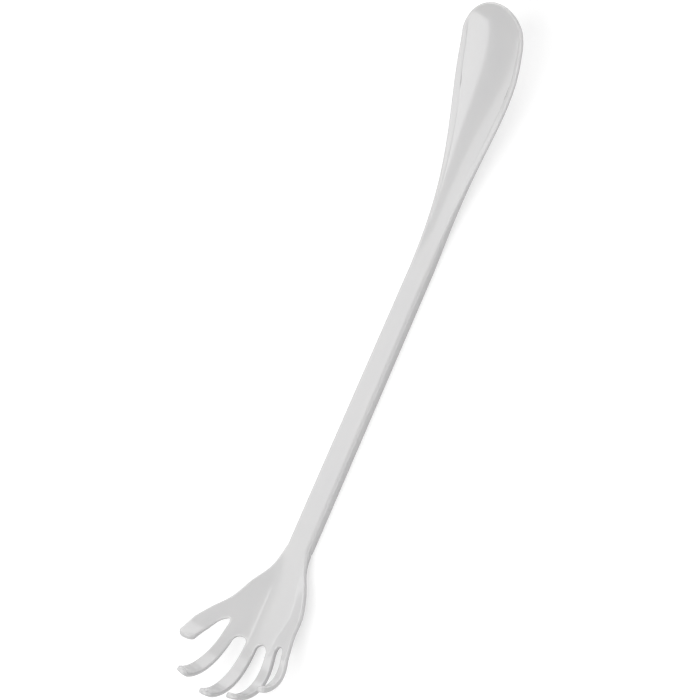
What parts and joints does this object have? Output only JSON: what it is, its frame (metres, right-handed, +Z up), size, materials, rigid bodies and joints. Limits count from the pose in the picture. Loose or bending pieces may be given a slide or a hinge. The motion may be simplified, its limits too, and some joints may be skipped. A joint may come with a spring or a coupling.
{
  "type": "back scratcher",
  "caption": "Long plastic back scratcher: a curled-finger hand at one end of a flat bar, a shoehorn blade at the other, all one moulding.",
  "frame": {"origin": "under the middle of the bounding box, on the surface that the tool lies on", "axes": "+X from the hand to the blade's tip, +Y toward the thumb's side, +Z up out of the hollow front of the palm and blade"},
  "size_m": [0.502, 0.084, 0.0475],
  "materials": {
    "moulding": "smooth glossy light grey-white"
  },
  "bodies": {
    "root": {"shoehorn_blade": "moulding", "shaft": "moulding", "palm": "moulding", "thumb": "moulding", "index_finger": "moulding", "middle_finger": "moulding", "ring_finger": "moulding", "little_finger": "moulding"}
  },
  "joints": []
}
